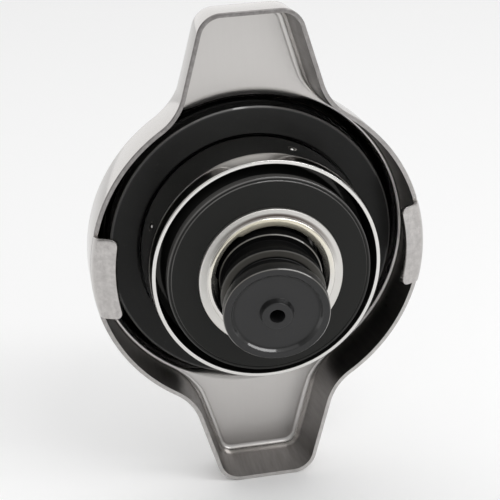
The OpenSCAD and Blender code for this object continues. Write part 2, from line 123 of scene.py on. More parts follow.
class ShellSizes(bpy.types.PropertyGroup):
    """The pressed sheet shell"""
    sheet: length("Sheet", "Thickness of the pressed sheet", 0.7)
    rim_radius: length("Rim radius", "Outer radius of the round rim wall", 21.45)
    rim_height: length("Rim height", "Height of the rim's edge", 9.5)
    flare: length("Flare", "How far the wall leans out", 0.25)
    bend: length("Bend", "Inner radius of the bend at the wall's foot", 0.3)
    ear_bend: length("Ear bend", "Inner radius of that bend in the ears", 0.8)
    ear_rise: length("Ear rise", "How much higher than wide that bend is in the ears", 1.3)
    edge: length("Edge", "Rounding of the sheared rim edge", 0.16)
    step: length("Step", "How far the plateau stands out from the ears", 2.3)
    recess: length("Recess", "Radius of the recess that holds the gasket", 19.0)
    ear_reach: length("Ear reach", "Distance from the axis to the tip of an ear", high("cap_shell").y / MM)
    ear_tip: length("Ear tip", "Width of an ear at its tip", 12.0)
    ear_spread: angle("Ear spread", "Angle at which an ear's sides spread", 16)
    ear_corner: length("Ear corner", "Radius of the outer corners of an ear", 3.2)
    ear_blend: length("Ear blend", "Radius of the blend from ear to rim", 7.0)
    tab_length: length("Tab length", "Length of a cam tab along the rim", 10.7)
    tab_reach: length("Tab reach", "How far a tab reaches in at its ends", 2.8)
    tab_rise: angle("Tab rise", "Angle at which a tab rises inwards", 25)
    tab_fold: length("Tab fold", "Outer radius of the fold of a tab", 1.5)
    tab_corner: length("Tab corner", "Radius of the inner corners of a tab", 1.1)
    notch_depth: length("Notch depth", "How far the wall is cut down at a tab", 0.15)
    notch_width: length("Notch width", "Width of the relief notch at each end of a tab", 0.6)


class CupSizes(bpy.types.PropertyGroup):
    """The drawn bell cup"""
    radius: length("Cup radius", "Outer radius of the bell cup", high("bell_cup").x / MM)
    wall: length("Cup wall", "Thickness of the cup's wall", 0.5)
    mouth_draw: length("Mouth draw", "How far the mouth is drawn in", 0.3)
    mouth_band: length("Mouth band", "Height of the wall that is drawn in", 1.9)
    base_bend: length("Base bend", "Outer radius of the bend at the cup's base", 1.4)
    dent_angle: angle("Dent angle", "Direction of the first stake", 251.6)
    dent_gap: angle("Dent gap", "Angle from the first stake to the second", 85.4)
    dent_height: length("Dent height", "Height of the stakes", 9.45)


class ValveSizes(bpy.types.PropertyGroup):
    """The pressure spring and the seal's retainer"""
    coil: length("Coil", "Radius of the spring to the middle of its wire", 10.4)
    wire: length("Wire", "Thickness of the spring's wire", 1.55)
    flange: length("Flange", "Radius of the retainer's flange", 9.05)
    flange_low: length("Flange foot", "Height of the flange's underside", 15.8)
    flange_top: length("Flange face", "Height of the flange's face", 16.4)
    bore: length("Bore", "Inner radius of the retainer's tube", 7.1)
    lip: length("Lip", "Radius of the crest of the rolled lip", 7.6)


class StemSizes(bpy.types.PropertyGroup):
    """The loose vacuum stem, measured along its own axis from the middle of its dome"""
    lean: angle("Lean", "Lean of the loose stem in its seat", 12)
    lean_way: angle("Lean direction", "Direction in which the stem leans", 54)
    dome_height: length("Dome height", "Height of the middle of the stem's dome", 15.5)
    head: length("Head", "Radius of the stem's head", 6.42)
    head_height: length("Head height", "Thickness of the stem's head", 1.6)
    face: length("Face", "Height of the stem's face", 8.6)
    groove: length("Groove", "Radius of the groove behind the head", 5.3)
    groove_width: length("Groove width", "Width of that groove", 2.5)
    collar: length("Collar", "Thickness of the collar behind the groove", 1.1)
    neck: length("Neck", "Radius of the neck between collar and foot", 5.6)
    foot: length("Foot", "Radius of the stem's foot", 6.4)
    foot_top: length("Foot's top", "Height of the foot's top", 0.8)
    rim_width: length("Face rim", "Width of the raised rim on the stem's face", 0.85)
    eye: length("Eye", "Radius of the boss round the vent", 2.1)
    vent: length("Vent", "Radius of the vent hole", 0.92)


class FinishColours(bpy.types.PropertyGroup):
    """Colours and gloss of the finishes"""
    shell: tint("Shell steel", "Satin stainless sheet", (0.60, 0.588, 0.57))
    rubbed: tint("Rubbed steel", "Warm cast of the duller clouds in the sheet", (0.575, 0.545, 0.535))
    cup: tint("Polished steel", "Drawn and polished cup", (0.70, 0.69, 0.67))
    # Painted shade: the cup's inside is drawn in this dull dark colour.
    inside: tint("Cup's inside", "Dull dark inside of the cup", (0.03, 0.03, 0.029))
    retainer: tint("Retainer steel", "Turned flange of the retainer", (0.70, 0.685, 0.655))
    # Painted reflection: a brown band outside the lip, only on the -Y side.
    stain: tint("Retainer stain", "Brown stain outside the retainer's lip", (0.10, 0.08, 0.07))
    # Warm plating on the lip, partly a painted highlight that grows towards -Y.
    lip: tint("Lip plating", "Warm plating on the retainer's rolled lip", (0.92, 0.86, 0.68))
    # Painted shade: the retainer's bore is drawn in this dull dark colour.
    bore: tint("Retainer's bore", "Dull dark inside of the retainer", (0.02, 0.019, 0.018))
    gasket: tint("Gasket rubber", "Smooth moulded rubber", (0.018, 0.018, 0.0175))
    # Dust, and a painted highlight along the gasket's upper edge.
    gasket_dust: tint("Gasket dust", "Dust and the worn edge of the gasket", (0.16, 0.155, 0.15))
    seal: tint("Seal rubber", "Dull ground rubber", (0.013, 0.0132, 0.0122))
    # Dust, and painted highlights along the seal's fine edges.
    seal_dust: tint("Seal dust", "Dust and the worn edges of the seal", (0.14, 0.135, 0.13))
    stem: tint("Stem plastic", "Satin moulded plastic", (0.017, 0.017, 0.0175))
    # Painted shade on the stem's side walls and face bevels.
    stem_oil: tint("Stem sides", "Oily sides and ledges of the stem", (0.002, 0.002, 0.002))
    # Painted shade below the collar, drawn as dull dark plastic.
    stem_shade: tint("Stem foot", "Dull plastic below the collar", (0.006, 0.006, 0.006))
    # Painted highlights on the stem's edges and painted light on its collar, with scuffs.
    stem_worn: tint("Stem wear", "Rubbed edges and dust on the stem", (0.20, 0.19, 0.17))
    spring: tint("Spring steel", "Dull wire and stampings", (0.42, 0.41, 0.40))
    floor: tint("Floor", "Plain pale floor", (0.98, 0.98, 0.98))
    gasket_gloss: share("Gasket roughness", "Roughness of the gasket", 0.30)
    steel_gloss: share("Shell roughness", "Roughness of the satin sheet", 0.14)


GROUPS = {"cap_shell_sizes": ShellSizes, "cap_cup_sizes": CupSizes, "cap_valve_sizes": ValveSizes,
          "cap_stem_sizes": StemSizes, "cap_colours": FinishColours}


def in_mm(group):
    """The sizes of a property group, with its lengths in millimetres."""
    sizes = [p for p in group.bl_rna.properties if p.type == "FLOAT"]
    scales = {p.identifier: MM if p.unit == "LENGTH" else 1 for p in sizes}
    return SimpleNamespace(**{key: getattr(group, key) / scale for key, scale in scales.items()})


def both_ways(operation):
    """The two methods of an operation, with a signal on its left and on its right."""
    return (lambda self, other: self.maths(operation, self, other),
            lambda self, other: self.maths(operation, other, self))


class Signal:
    """A shader socket that takes part in ordinary arithmetic."""

    def __init__(self, finish, socket):
        self.finish = finish
        self.socket = socket

    def maths(self, operation, a, b=0.0, clamp=False):
        return self.finish.add("Math", {"operation": operation, "use_clamp": clamp}, {0: a, 1: b})

    __add__, __radd__ = both_ways("ADD")
    __sub__, __rsub__ = both_ways("SUBTRACT")
    __mul__, __rmul__ = both_ways("MULTIPLY")
    __pow__, __rpow__ = both_ways("POWER")

    def held(self):
        """The signal, held between 0 and 1."""
        return self.maths("ADD", self, 0.0, clamp=True)

    def past(self, start, slope):
        """0 up to the start, then rising to 1."""
        return ((self - start) * slope).held()

    def before(self, end, slope):
        """1 well below the end, falling to 0 at it."""
        return ((end - self) * slope).held()

    def near(self, middle, narrow):
        """1 at the middle, falling to 0 on both sides of it."""
        return (1.0 - (self - middle) ** 2.0 * narrow).held()


class Finish:
    """The node tree of one material, or of the world."""

    def __init__(self, name, kind="materials"):
        self.owner = getattr(bpy.data, kind).new(name)
        self.owner.use_nodes = True
        self.tree = self.owner.node_tree
        self.tree.nodes.clear()

    def add(self, kind, settings=None, inputs=None, output=0):
        """One node with its settings and inputs, as the signal of the named output."""
        node = self.tree.nodes.new("ShaderNode" + kind)
        for key, value in (settings or {}).items():
            setattr(node, key, value)
        for key, value in (inputs or {}).items():
            socket = node.inputs[key]
            if isinstance(value, Signal):
                self.tree.links.new(value.socket, socket)
            else:
                socket.default_value = value
        return Signal(self, node.outputs[output]) if len(node.outputs) else None

    def place(self, scale=(1, 1, 1), turn=(0, 0, 0)):
        """Object coordinates in millimetres, scaled and turned."""
        where = self.add("TexCoord", output="Object")
        return self.add("Mapping", None, {"Vector": where, "Rotation": turn, "Scale": [s / MM for s in scale]})

    def noise(self, where, scale=1.0, detail=4.0, roughness=0.55, warp=0.0):
        return self.add("TexNoise", None, {"Vector": where, "Scale": scale, "Detail": detail,
                                                     "Roughness": roughness, "Distortion": warp})

    def lines(self, signal, detail):
        """Fine lines that follow one signal."""
        return self.add("TexNoise", {"noise_dimensions": "1D"}, {"W": signal, "Scale": 1.0, "Detail": detail})

    def mix(self, factor, a, b):
        full = [v if isinstance(v, Signal) else (*v[:3], 1) for v in (a, b)]
        return self.add("Mix", {"data_type": "RGBA"}, {0: factor, 6: full[0], 7: full[1]}, output=2)

    def varied(self, tone, colour, darkest, lightest):
        """A colour that is made darker and lighter by a tone."""
        return self.mix(tone.held(), shade(colour, darkest), shade(colour, lightest))

    def axis_parts(self, where):
        first = self.add("SeparateXYZ", None, {0: where})
        return [Signal(self, out) for out in first.socket.node.outputs]

    def round_parts(self, where):
        """The three parts of a place, and its distance from the cap's axis."""
        across, along, height = self.axis_parts(where)
        return across, along, height, (across * across + along * along) ** 0.5

    def bump(self, height, strength, distance):
        return self.add("Bump", None, {"Height": height, "Strength": strength, "Distance": distance})

    def surface(self, dull=None, dull_colour=(0, 0, 0), **sockets):
        """The shader and its output, with a plain matt surface where the dull signal is set."""
        shader = self.add("BsdfPrincipled", None, {k.replace("_", " "): v for k, v in sockets.items()})
        if dull:
            matt = self.add("BsdfDiffuse", None, {"Color": (*dull_colour, 1)})
            shader = self.add("MixShader", None, {0: dull, 1: shader, 2: matt})
        self.add("OutputMaterial", None, {"Surface": shader})
        return self.owner


def stem_matrix(stem):
    """Carries the stem from its own upright axis to its leaned place in the seat."""
    return (Matrix.Translation((0, 0, stem.dome_height)) @ Matrix.Rotation(stem.lean_way, 4, "Z")
            @ Matrix.Rotation(stem.lean, 4, "Y"))


def shade(colour, by):
    """A colour made lighter or darker."""
    return tuple(min(1.0, c * by) for c in colour)


def satin_stainless(scene):
    """Satin stainless sheet with a fine grain, painted dark reflection on the drawn inner walls, a sheared edge with
    soiling and painted shade, and rubbed tabs.
    """
    colours, sizes = scene.cap_colours, in_mm(scene.cap_shell_sizes)
    rim, ear_floor = sizes.rim_height, sizes.step + sizes.sheet
    f = Finish("satin_stainless")
    where = f.place()
    across, along, height = f.axis_parts(where)
    grain = f.noise(where, 5.0, 3.0, 0.6)
    cloud = f.noise(where, 0.13, 4.0, 0.6)
    drawn = f.noise(f.place((2.4, 0.16, 2.4)), 1.0, 4.0, 0.6)
    streaks = f.noise(f.place((1.6, 1.6, 0.12)), 1.0, 4.0, 0.6)
    mottle = f.noise(where, 1.3, 5.0, 0.7).past(0.35, 1 / 0.30)
    inner = f.add("Attribute", {"attribute_name": INNER_WALL}, output="Fac")
    tabs = height.past(rim + 0.5, 2.0)
    sheared = height.past(rim - 0.2, 14.0) * (1.0 - height.past(rim + 0.05, 20.0))
    floor = height.before(ear_floor + 0.6, 2.0) * height.past(ear_floor - 0.6, 6.0)
    wear = (0.55 * drawn + 0.45 * mottle).held()
    tone = (0.32 + 0.30 * cloud + 0.22 * grain + 0.16 * drawn).held()
    sheet = f.mix(tone, shade(colours.rubbed, 0.92), shade(colours.shell, 1.08))
    rubbed = f.mix((tabs * wear * 0.95).held(), sheet, shade(colours.rubbed, 0.60))
    # Painted dark reflection: the drawn inner walls are darkened in streaks.
    shaded_wall = f.mix((inner * (0.6 + 0.4 * streaks)).held(), rubbed, shade(colours.rubbed, 0.32))
    # Soiling on the sheared edge, with painted shade that grows towards -Y and +X.
    soil_and_shade = (sheared * (0.36 + 0.30 * mottle - 0.012 * along + 0.008 * across)).held()
    colour = f.mix(soil_and_shade, shaded_wall, shade(colours.rubbed, 0.42))
    rough = (colours.steel_gloss - 0.06 + 0.08 * grain + 0.08 * cloud + 0.10 * (tabs * wear) + 0.25 * sheared
             + 0.14 * inner + 0.20 * floor)
    relief = 0.5 * grain + 0.5 * drawn + 0.6 * (tabs * mottle)
    return f.surface(Base_Color=colour, Metallic=1.0, Roughness=rough, Normal=f.bump(relief, 0.014, 0.00004))


def polished_cup_steel(scene):
    """Polished drawn steel with faint turning lines and small smears, and painted shade inside as a dull dark surface.
    """
    colours, sizes = scene.cap_colours, in_mm(scene.cap_cup_sizes)
    within_wall = sizes.radius - 0.74 * sizes.wall
    below_mouth = high("bell_cup").z / MM - 0.12
    f = Finish("polished_cup_steel")
    _, _, height, radius = f.round_parts(f.place())
    # Painted shade: a dull dark surface inside the wall, below the mouth.
    inside = radius.before(within_wall, 40.0) * height.before(below_mouth, 20.0)
    lines = f.lines(height * 3.0, 5.0)
    smear = f.noise(f.place((0.5, 0.5, 1.6)), 1.0, 5.0, 0.65, 0.4).past(0.42, 1 / 0.28)
    colour = f.varied(0.35 + 0.4 * lines + 0.25 * smear, colours.cup, 0.93, 1.06)
    rough = 0.025 + 0.03 * lines + 0.05 * smear
    return f.surface(dull=inside * 0.97, dull_colour=colours.inside, Base_Color=colour, Metallic=1.0,
                     Roughness=rough, Normal=f.bump(lines + 0.5 * smear, 0.02, 0.00001))


def turned_retainer_steel(scene):
    """Turned steel flange, with a brown painted reflection outside its rolled lip, warm plating with a painted
    highlight on that lip, and painted shade in its bore.
    """
    colours, sizes = scene.cap_colours, in_mm(scene.cap_valve_sizes)
    crest, flange_low = sizes.lip, sizes.flange_low
    f = Finish("turned_retainer_steel")
    where = f.place()
    across, along, height, radius = f.round_parts(where)
    rings = f.lines(radius * 5.0, 4.0)
    cloud = f.noise(where, 0.6, 4.0, 0.6)
    bead = radius.before(crest + 0.52, 9.0)
    # Painted reflection: a brown band just outside the lip's crest, only on the -Y side.
    stain = radius.near(crest + 0.62, 9.0) * (-0.25 - 0.13 * along - 0.02 * across).held()
    lip = radius.before(crest + 0.35, 6.0) * height.past(flange_low + 0.1, 5.0)
    # Warm plating on the lip, with a painted highlight that grows towards -Y.
    plating_and_highlight = (lip * (0.12 + 0.12 * cloud - 0.11 * along)).held()
    # Painted shade: a dull dark surface in the bore.
    bore = radius.before(sizes.bore + 0.1, 20.0) * height.before(flange_low, 8.0)
    plain = f.varied(0.25 + 0.5 * rings + 0.25 * cloud, colours.retainer, 0.92, 1.06)
    with_shade_band = f.mix((stain * 1.2).held(), plain, colours.stain)
    colour = f.mix(plating_and_highlight, with_shade_band, colours.lip)
    rough = 0.32 + 0.08 * rings + 0.06 * cloud - 0.28 * bead + 0.12 * plating_and_highlight
    return f.surface(dull=bore * 0.9, dull_colour=colours.bore, Base_Color=colour, Metallic=1.0 - 0.45 * plating_and_highlight,
                     Roughness=rough, Normal=f.bump(rings, 0.04, 0.00002))


def smooth_gasket_rubber(scene):
    """Smooth black rubber with a moulding bloom, a little dust and a painted highlight along its upper outer edge."""
    colours = scene.cap_colours
    rim, top = high("neck_gasket").x / MM, high("neck_gasket").z / MM
    f = Finish("smooth_gasket_rubber")
    where = f.place()
    _, _, height, radius = f.round_parts(where)
    bloom = f.noise(where, 0.35, 5.0, 0.6)
    pores = f.noise(where, 7.0, 3.0, 0.6)
    dust = f.noise(where, 2.6, 6.0, 0.7).past(0.60, 1 / 0.14)
    # Painted highlight: a lighter line along the outer top edge.
    painted_highlights = radius.past(rim - 0.19, 30.0) * height.past(top - 0.16, 30.0)
    black = f.varied(0.2 + 0.6 * bloom, colours.gasket, 0.75, 1.35)
    colour = f.mix((dust * 0.10 + painted_highlights * 0.9).held(), black, colours.gasket_dust)
    rough = colours.gasket_gloss - 0.05 + 0.12 * bloom + 0.12 * dust
    return f.surface(Base_Color=colour, Roughness=rough, Specular_IOR_Level=0.16,
                     Coat_Weight=radius.past(rim - 0.35, 8.0), Coat_Roughness=0.06,
                     Normal=f.bump(pores + 0.4 * bloom, 0.10, 0.00006))


def ground_seal_rubber(scene):
    """Dull black rubber with a ground, slightly dusty face and painted highlights along two fine edges, stronger
    towards -Y.
    """
    colours = scene.cap_colours
    chamfer, groove = 12.73, 12.33
    f = Finish("ground_seal_rubber")
    where = f.place()
    across, along, _, radius = f.round_parts(where)
    pores = f.noise(where, 9.0, 3.0, 0.65)
    bloom = f.noise(where, 0.5, 5.0, 0.65)
    specks = f.noise(where, 4.2, 4.0, 0.7).past(0.63, 1 / 0.11)
    rims = (radius.near(chamfer, 80.0) + radius.near(groove, 120.0)).held()
    # Painted highlights: lighter lines along the chamfer and groove, stronger towards -Y.
    painted_highlights = rims * (0.45 - 0.04 * along + 0.012 * across).held()
    black = f.varied(0.2 + 0.4 * bloom + 0.3 * pores, colours.seal, 0.75, 1.3)
    colour = f.mix((specks * 0.06 + painted_highlights * 0.8).held(), black, colours.seal_dust)
    rough = 0.50 + 0.12 * pores + 0.10 * bloom
    return f.surface(Base_Color=colour, Roughness=rough, Specular_IOR_Level=0.22, Coat_Weight=painted_highlights,
                     Coat_Roughness=0.1, Normal=f.bump(pores, 0.25, 0.00007))


def moulded_stem_plastic(scene):
    """Satin black plastic with a few scuffs, placed along the leaned axis; painted shade on its sides, bevels and below
    the collar, painted light on the collar's face and painted highlights on its edges.
    """
    colours, stem = scene.cap_colours, in_mm(scene.cap_stem_sizes)
    face, collar = stem.face, stem.face - stem.head_height - stem.groove_width
    rim_ledge, eye_ledge = stem.head - stem.rim_width - 0.18, stem.eye - 0.15
    f = Finish("moulded_stem_plastic")
    where = f.place()
    grain = f.noise(where, 8.0, 3.0, 0.6)
    cloud = f.noise(where, 0.4, 4.0, 0.6)
    scuffs = f.noise(f.place((3.2, 0.5, 3.2), (0.3, 0.2, 0.6)), 1.0, 4.0, 0.7).past(0.60, 1 / 0.12)
    across, along, height = f.axis_parts(where)
    axis = stem_matrix(scene.cap_stem_sizes).to_3x3() @ Vector((0, 0, 1))
    up = height - stem.dome_height
    rise = across * axis.x + along * axis.y + up * axis.z
    radius = (across * across + along * along + up * up - rise * rise) ** 0.5
    # Painted shade: the side walls below the face are darkened.
    side = radius.past(4.9, 4.0) * rise.before(face - 0.15, 8.0)
    # Painted light: the collar's front face is lighter.
    lit_collar = rise.near(collar, 40.0) * radius.past(5.5, 6.0)
    # Painted highlight: a lighter line along the head's front edge.
    rubbed = radius.past(stem.head - 0.12, 12.0) * rise.past(face - 0.16, 12.0)
    # Painted shade on the face's rim and eye bevels, which also get a coat.
    shaded_bevels = radius.near(rim_ledge, 24.0) + radius.near(eye_ledge, 30.0)
    # Painted highlight: a lighter line along the foot's top edge.
    foot_highlight = radius.past(stem.foot - 0.2, 10.0) * rise.near(stem.foot_top - 0.04, 60.0)
    # Painted shade: a dull dark surface below the collar.
    below = rise.before(collar - 0.1, 6.0) * (1.0 - foot_highlight)
    base = f.varied(0.25 + 0.5 * cloud, colours.stem, 0.85, 1.2)
    sides = f.mix((side * 0.9 + shaded_bevels * 0.85).held(), base, colours.stem_oil)
    painted_highlights = f.mix((rubbed * 0.9 + foot_highlight * 0.9 + lit_collar * 0.42 + scuffs * 0.04).held(), sides, colours.stem_worn)
    rough = 0.24 + 0.08 * grain + 0.06 * cloud + 0.08 * scuffs
    gloss = ((shaded_bevels + rubbed).held() * rise.past(face - 1.0, 6.0) + foot_highlight).held()
    return f.surface(dull=below * 0.85, dull_colour=colours.stem_shade, Base_Color=painted_highlights, Roughness=rough,
                     Specular_IOR_Level=0.4, Coat_Weight=gloss, Coat_Roughness=0.07,
                     Normal=f.bump(grain, 0.12, 0.00006))


def dull_spring_steel(scene):
    """Dull steel for the wire and the hidden stampings."""
    colours = scene.cap_colours
    f = Finish("dull_spring_steel")
    where = f.place()
    grain = f.noise(where, 6.0, 4.0, 0.6)
    cloud = f.noise(where, 0.5, 4.0, 0.6)
    colour = f.varied(0.2 + 0.5 * cloud + 0.2 * grain, colours.spring, 0.8, 1.2)
    return f.surface(Base_Color=colour, Metallic=1.0, Roughness=0.34 + 0.14 * grain,
                     Normal=f.bump(grain, 0.10, 0.00005))


def stand_for(context, bm, name, node, finish, crease=32):
    """Turns a finished bmesh into the piece that stands for a CAD node."""
    mesh = bpy.data.meshes.new(name)
    bm.to_mesh(mesh)
    bm.free()
    mesh.shade_smooth()
    mesh.set_sharp_from_angle(angle=radians(crease))
    mesh.materials.append(bpy.data.materials.get(finish.__name__) or finish(context.scene))
    piece = bpy.data.objects.new(name, mesh)
    context.scene.collection.objects.link(piece)
    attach(piece, BODIES[node])
    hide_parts(node)
    return piece


def turned(section, steps=160, segments=4):
    """A ring or disc spun about Z from corners of radius, height and rounding, all in millimetres."""
    bm = bmesh.new()
    corners = [bm.verts.new((r * MM, 0, z * MM)) for r, z, _ in section]
    bm.faces.new(corners)
    for vert, (_, _, rounding) in zip(corners, section):
        if rounding:
            bmesh.ops.bevel(bm, geom=[vert], offset=rounding * MM, offset_type="OFFSET", segments=segments,
                            profile=0.5, affect="VERTICES", material=-1)
    bmesh.ops.delete(bm, geom=bm.faces[:], context="FACES_ONLY")
    bmesh.ops.spin(bm, geom=bm.verts[:] + bm.edges[:], cent=(0, 0, 0), axis=(0, 0, 1), angle=TURN, steps=steps,
                   use_merge=True)
    bmesh.ops.remove_doubles(bm, verts=bm.verts, dist=MERGE)
    bmesh.ops.dissolve_degenerate(bm, edges=bm.edges, dist=MERGE / 10)
    bmesh.ops.recalc_face_normals(bm, faces=bm.faces)
    return bm


def arc(start, end, steps):
    """Angles from one to another, given in degrees and returned in radians."""
    return [radians(start + (end - start) * i / steps) for i in range(steps + 1)]


def held(value):
    """A value held between 0 and 1."""
    return min(1, max(0, value))


def eased(value):
    """A value held between 0 and 1, with a soft start and end."""
    value = held(value)
    return value * value * (3 - 2 * value)


def new_verts(made):
    """The vertices among the elements that a bmesh operator made."""
    return [v for v in made if isinstance(v, bmesh.types.BMVert)]


def drawn_to(bm, vert, place):
    """Extrudes one vertex to a new place and returns the new one."""
    new = bmesh.ops.extrude_vert_indiv(bm, verts=[vert])["verts"][0]
    new.co = place
    return new


def spun(bm, vert, centre, turn, steps, axis=(0, 0, 1)):
    """Carries one vertex along an arc and returns its last place."""
    made = bmesh.ops.spin(bm, geom=[vert], cent=centre, axis=axis, angle=turn, steps=steps)
    return new_verts(made["geom_last"])[0]


def extruded(bm, edges):
    """Extrudes a run of edges in place and returns the new vertices and edges."""
    made = bmesh.ops.extrude_edge_only(bm, edges=edges)["geom"]
    fresh = set(new_verts(made))
    return fresh, [e for e in made if isinstance(e, bmesh.types.BMEdge) and all(v in fresh for v in e.verts)]


# A point of the wall's outer edge, its way out, foot bend, cut at the edge, floor's end and share of ear and brink
Station = namedtuple("Station", "at out bend drop foot ear brink")


def outline(s):
    """The wall's outer edge as points, from the middle of the tab at +X, anticlockwise."""
    side = Vector((cos(s.ear_spread), sin(s.ear_spread)))
    side_run = side.x * s.ear_tip / 2 + side.y * s.ear_reach
    corner = Vector((0, s.ear_reach - s.ear_corner))
    corner.x = (side_run - s.ear_corner - side.y * corner.y) / side.x
    blend_run = side_run + s.ear_blend
    blend_up = sqrt((s.rim_radius + s.ear_blend) ** 2 - blend_run ** 2)
    blend = side * blend_run + Vector((-side.y, side.x)) * blend_up
    blend_angle = atan2(blend.y, blend.x)
    tab_angle = asin(s.tab_length / 2 / s.rim_radius)
    notch_angle = asin((s.tab_length / 2 + s.notch_width) / s.rim_radius)
    side_steps, tip_steps = 4, 3

    bm = bmesh.new()
    vert = bm.verts.new((s.rim_radius, 0, 0))
    for turn, steps in ((tab_angle, 8), (notch_angle - tab_angle, 10), (blend_angle - notch_angle, 30)):
        vert = spun(bm, vert, (0, 0, 0), turn, steps)
    vert = spun(bm, vert, (*blend, 0), s.ear_spread - blend_angle, 18)
    side_end = corner + side * s.ear_corner
    for left in range(side_steps, 0, -1):
        vert = drawn_to(bm, vert, (*Vector(vert.co.xy).lerp(side_end, 1 / left), 0))
    vert = spun(bm, vert, (*corner, 0), pi / 2 - s.ear_spread, 16)
    for i in range(1, tip_steps + 1):
        vert = drawn_to(bm, vert, (corner.x * (1 - i / tip_steps), s.ear_reach, 0))
    for axis in ("X", "Y"):
        bmesh.ops.mirror(bm, geom=bm.verts[:] + bm.edges[:], matrix=Matrix(), merge_dist=MERGE, axis=axis)
    bmesh.ops.remove_doubles(bm, verts=bm.verts, dist=MERGE)

    first = max(bm.verts, key=lambda v: v.co.x - abs(v.co.y))
    loop = [first, max((e.other_vert(first) for e in first.link_edges), key=lambda v: v.co.y)]
    while loop[-1] is not first:
        onward = [e.other_vert(loop[-1]) for e in loop[-1].link_edges]
        loop.append([v for v in onward if v is not loop[-2]][0])
    points = [Vector(v.co.xy) for v in loop[:-1]]
    bm.free()
    return points


def shell_stations(s):
    """A station for each point of the wall's outer edge."""
    points = outline(s)
    ear_start, ear_span = 0.86, 0.2
    brink_start, brink_span = 0.88, 0.3
    stations = []
    for i, at in enumerate(points):
        along = (points[(i + 1) % len(points)] - points[i - 1]).normalized()
        out = Vector((along.y, -along.x))
        reach = abs(at.y) / s.rim_radius
        ear = eased((reach - ear_start) / ear_span)
        brink = eased((reach - brink_start) / brink_span)
        drop = s.notch_depth * (1 - eased((abs(at.y) - s.tab_length / 2) / s.notch_width))
        bend = s.bend + (s.ear_bend - s.bend) * ear
        foot = (at - out * (s.flare + s.sheet + bend)).length
        stations.append(Station(at, out, bend, drop, foot, ear, brink))
    return stations


def shell_rings(s):
    """The sheet's section, from the rivet's hole inside, out over the rim and back, as places for a station."""
    floor = s.step + s.sheet
    plateau = s.recess + s.sheet
    recess_corner, plateau_corner = 0.5 * MM, 0.9 * MM
    # Width and depth of the round drop into the recess, at the rim and in the ears, and its lean at the rim
    rim_brink, ear_brink, lean = (0.22 * MM, 0.6 * MM), (1.6 * MM, 1.6 * MM), 0.95 * MM
    brink_gap, ear_brink_gap, skirt_gap = 0.03 * MM, 0.4 * MM, 0.06 * MM
    ring_gap = 0.02 * MM
    # Insets and depths of the line that is coined round the ears' floors
    coined_line = ((0.36, 0), (0.3, 0), (0.26, 0.006), (0.18, 0.022), (0.08, 0.022), (0.02, 0.008))
    # Radii and heights of the dimple that takes the rivet, inside and outside
    dimple_in = ((SHELL_HOLE * MM, 1.7 * MM), (4.15 * MM, 1.7 * MM), (5.1 * MM, s.sheet))
    dimple_out = ((4.5 * MM, 0), (4.3 * MM, 0.06 * MM), (3.9 * MM, 0.92 * MM), (3.7 * MM, 1.0 * MM),
                  (SHELL_HOLE * MM, 1.0 * MM))

    def circle(radius, z):
        return lambda p: (*(p.at.normalized() * radius), z)

    def brink(a):
        def place(p):
            wide, deep = Vector(rim_brink).lerp(Vector(ear_brink), p.brink)
            start = min(s.recess + lean * (1 - p.brink), p.foot - wide - ear_brink_gap * p.ear - brink_gap)
            return (*(p.at.normalized() * (start + wide * (1 + cos(a)))), floor - deep * (1 - sin(a)))
        return place

    def skirt(radius, z):
        return lambda p: (*(p.at.normalized() * min(radius, p.foot - skirt_gap)), z)

    def bent(a, outside):
        def place(p):
            radius = p.bend + (s.sheet if outside else 0)
            inset = s.flare + p.bend + s.sheet + radius * cos(a)
            rise = s.ear_rise * p.ear
            z = s.step + p.bend + rise + s.sheet + (radius + rise) * sin(a)
            return (*(p.at - p.out * inset), z)
        return place

    def coined(inset, depth):
        def place(p):
            back = s.flare + s.sheet + p.bend + inset * p.ear + ring_gap * (0.1 + inset / s.sheet)
            return (*(p.at - p.out * back), floor - depth * p.ear)
        return place

    def rim(inset, a):
        def place(p):
            return (*(p.at - p.out * (inset - s.edge * cos(a))),
                    s.rim_height - p.drop - s.edge * (1 - sin(a)))
        return place

    rings = [circle(radius, z) for radius, z in dimple_in]
    rings += [circle(s.recess - recess_corner * (1 - cos(a)), s.sheet + recess_corner * (1 + sin(a)))
              for a in arc(270, 360, 5)]
    rings += [brink(a) for a in arc(180, 90, 7)]
    rings += [coined(inset * MM, depth * MM) for inset, depth in coined_line]
    wall_start = len(rings) + 5
    rings += [bent(a, False) for a in arc(270, 180, 7)]
    wall_end = len(rings) + 1
    rings += [rim(s.sheet - s.edge, pi - a) for a in arc(180, 90, 3)]
    rings += [rim(s.edge, a) for a in arc(90, 0, 3)]
    rings += [bent(a, True) for a in arc(180, 270, 7)]
    rings += [skirt(plateau + 0.3 * MM, s.step), skirt(plateau + 0.1 * MM, s.step - 0.1 * MM),
              skirt(plateau, s.step - 0.4 * MM)]
    rings += [skirt(plateau - plateau_corner * (1 - cos(a)), plateau_corner * (1 - sin(a)))
              for a in arc(0, 90, 6)]
    rings += [circle(radius, z) for radius, z in dimple_out]
    return rings, range(wall_start, wall_end)


def lofted(stations, rings, inner_wall):
    """Extrudes a ring of stations from place to place, and closes the last ring on the first."""
    bm = bmesh.new()
    number = bm.verts.layers.int.new("station")
    marked = bm.verts.layers.float.new(INNER_WALL)
    ring = [bm.verts.new(rings[0](p)) for p in stations]
    for i, vert in enumerate(ring):
        vert[number] = i
    first = [bm.edges.new((ring[i - 1], ring[i])) for i in range(len(ring))]
    edges = first
    for index, place in enumerate(rings[1:], 1):
        fresh, edges = extruded(bm, edges)
        for vert in fresh:
            vert.co = place(stations[vert[number]])
            vert[marked] = index in inner_wall
    bmesh.ops.bridge_loops(bm, edges=first + edges)
    bmesh.ops.recalc_face_normals(bm, faces=bm.faces)
    return bm


